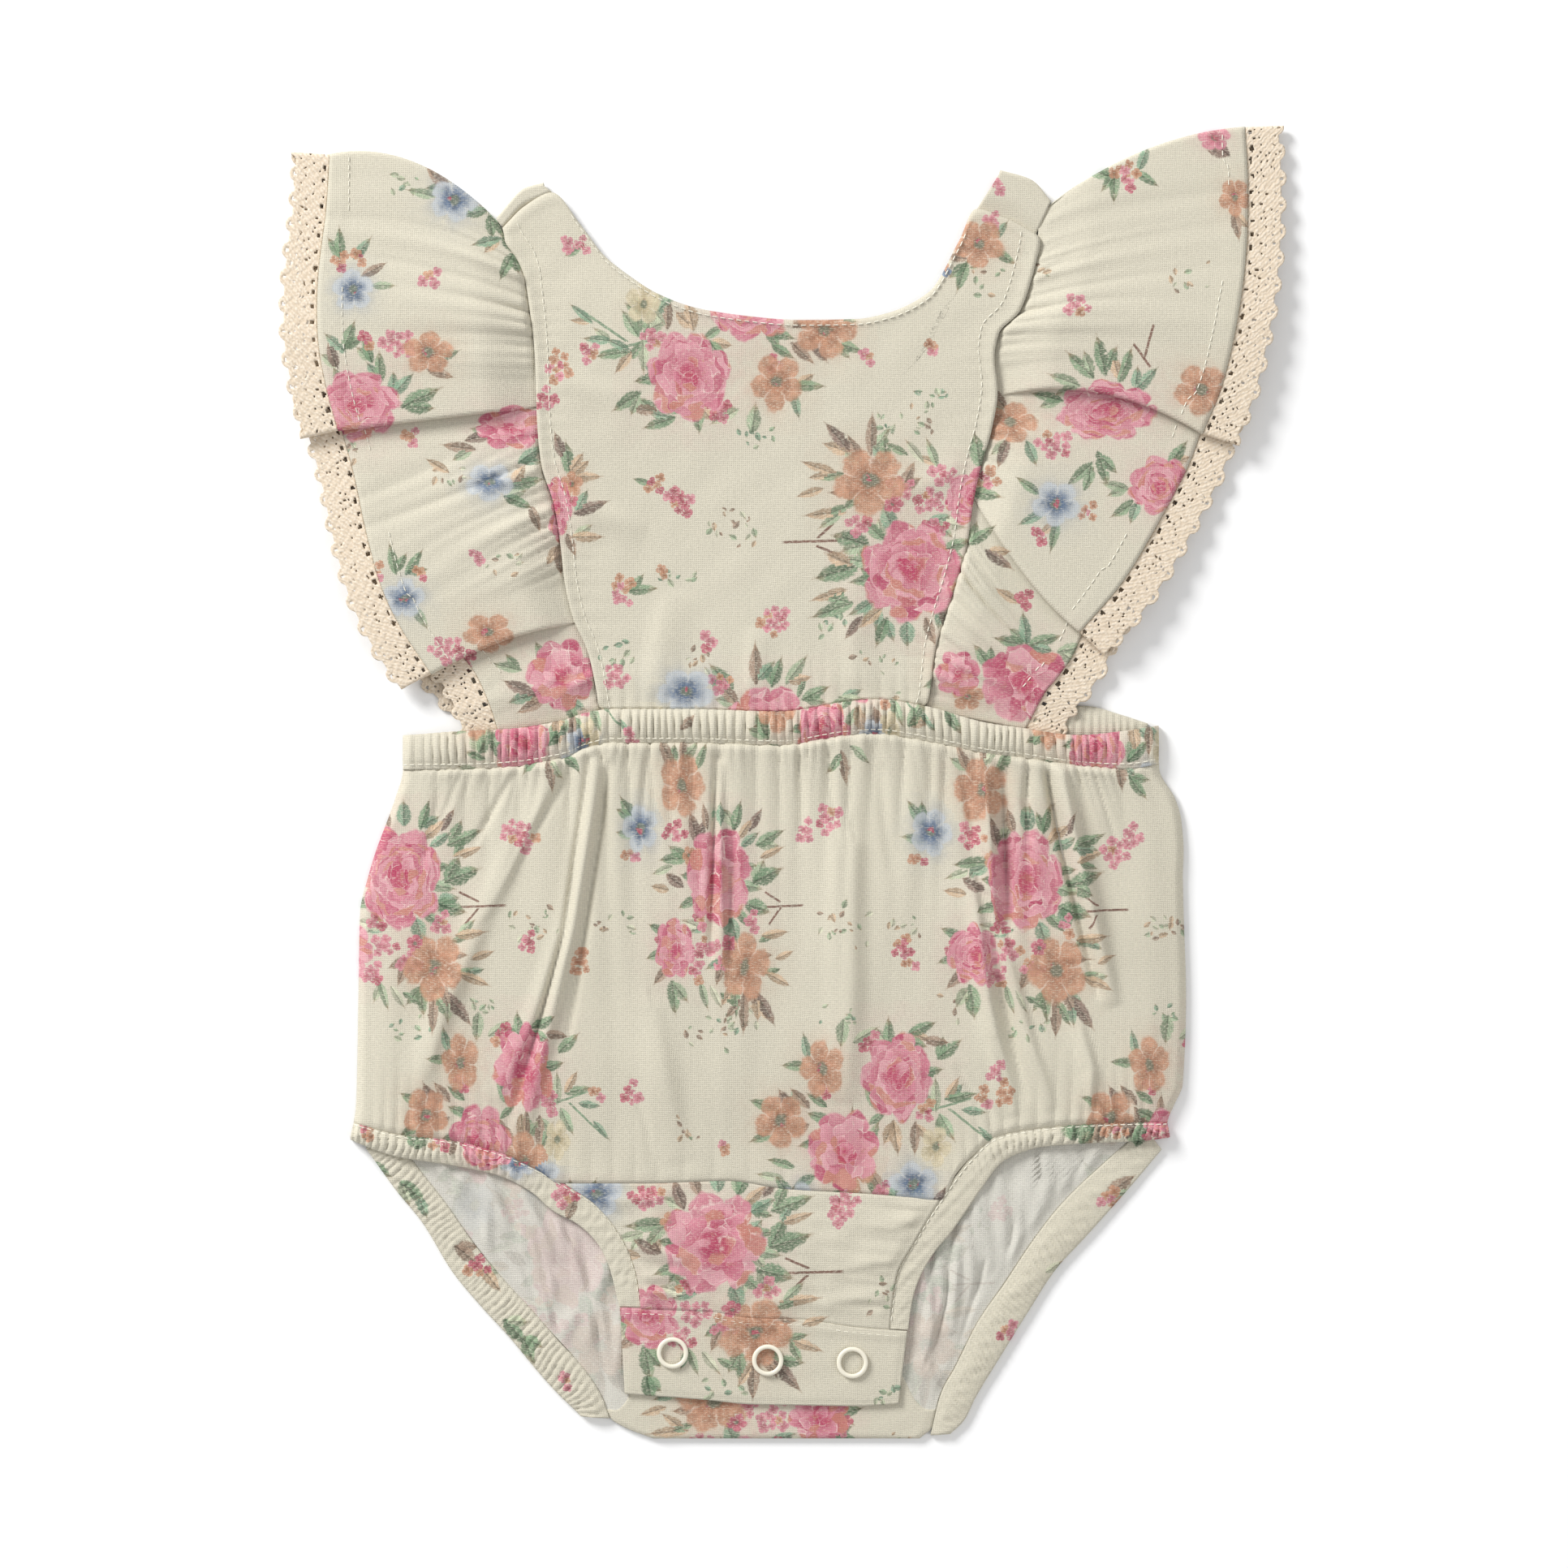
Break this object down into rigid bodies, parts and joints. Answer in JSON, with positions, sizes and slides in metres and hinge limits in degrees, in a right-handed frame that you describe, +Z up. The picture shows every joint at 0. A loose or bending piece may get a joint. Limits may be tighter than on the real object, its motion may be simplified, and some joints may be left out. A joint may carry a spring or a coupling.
{
  "type": "baby romper",
  "caption": "Sleeveless floral cotton baby romper with lace-edged flutter ruffles, gathered bloomers, elastic waist and leg casings and crotch snaps, laid flat.",
  "frame": {"origin": "middle of the garment's outline, on the surface it lies on", "axes": "+X towards the picture's right, +Y towards the head end, +Z up, out of the front of the garment"},
  "size_m": [0.3096, 0.4044, 0.0072],
  "materials": {
    "cloth": "printed cotton double gauze, matt",
    "cloth_inside": "wrong side of the printed gauze, matt",
    "lace": "ecru cotton lace",
    "snap": "cream enamelled ring snap"
  },
  "bodies": {
    "root": {"bodice_front": "cloth", "strap_left": "cloth", "strap_right": "cloth", "ruffle_left": "cloth", "ruffle_right": "cloth", "lace_left": "lace", "lace_right": "lace", "waistband_front": "cloth", "waistband_back": "cloth_inside", "front_panel": "cloth", "crotch_panel": "cloth", "snap_placket": "cloth", "leg_casing_front_left": "cloth", "leg_casing_front_right": "cloth", "back_panel": "cloth_inside", "leg_casing_back_left": "cloth_inside", "leg_casing_back_right": "cloth_inside", "snap_1": "snap", "snap_2": "snap", "snap_3": "snap"}
  },
  "joints": []
}
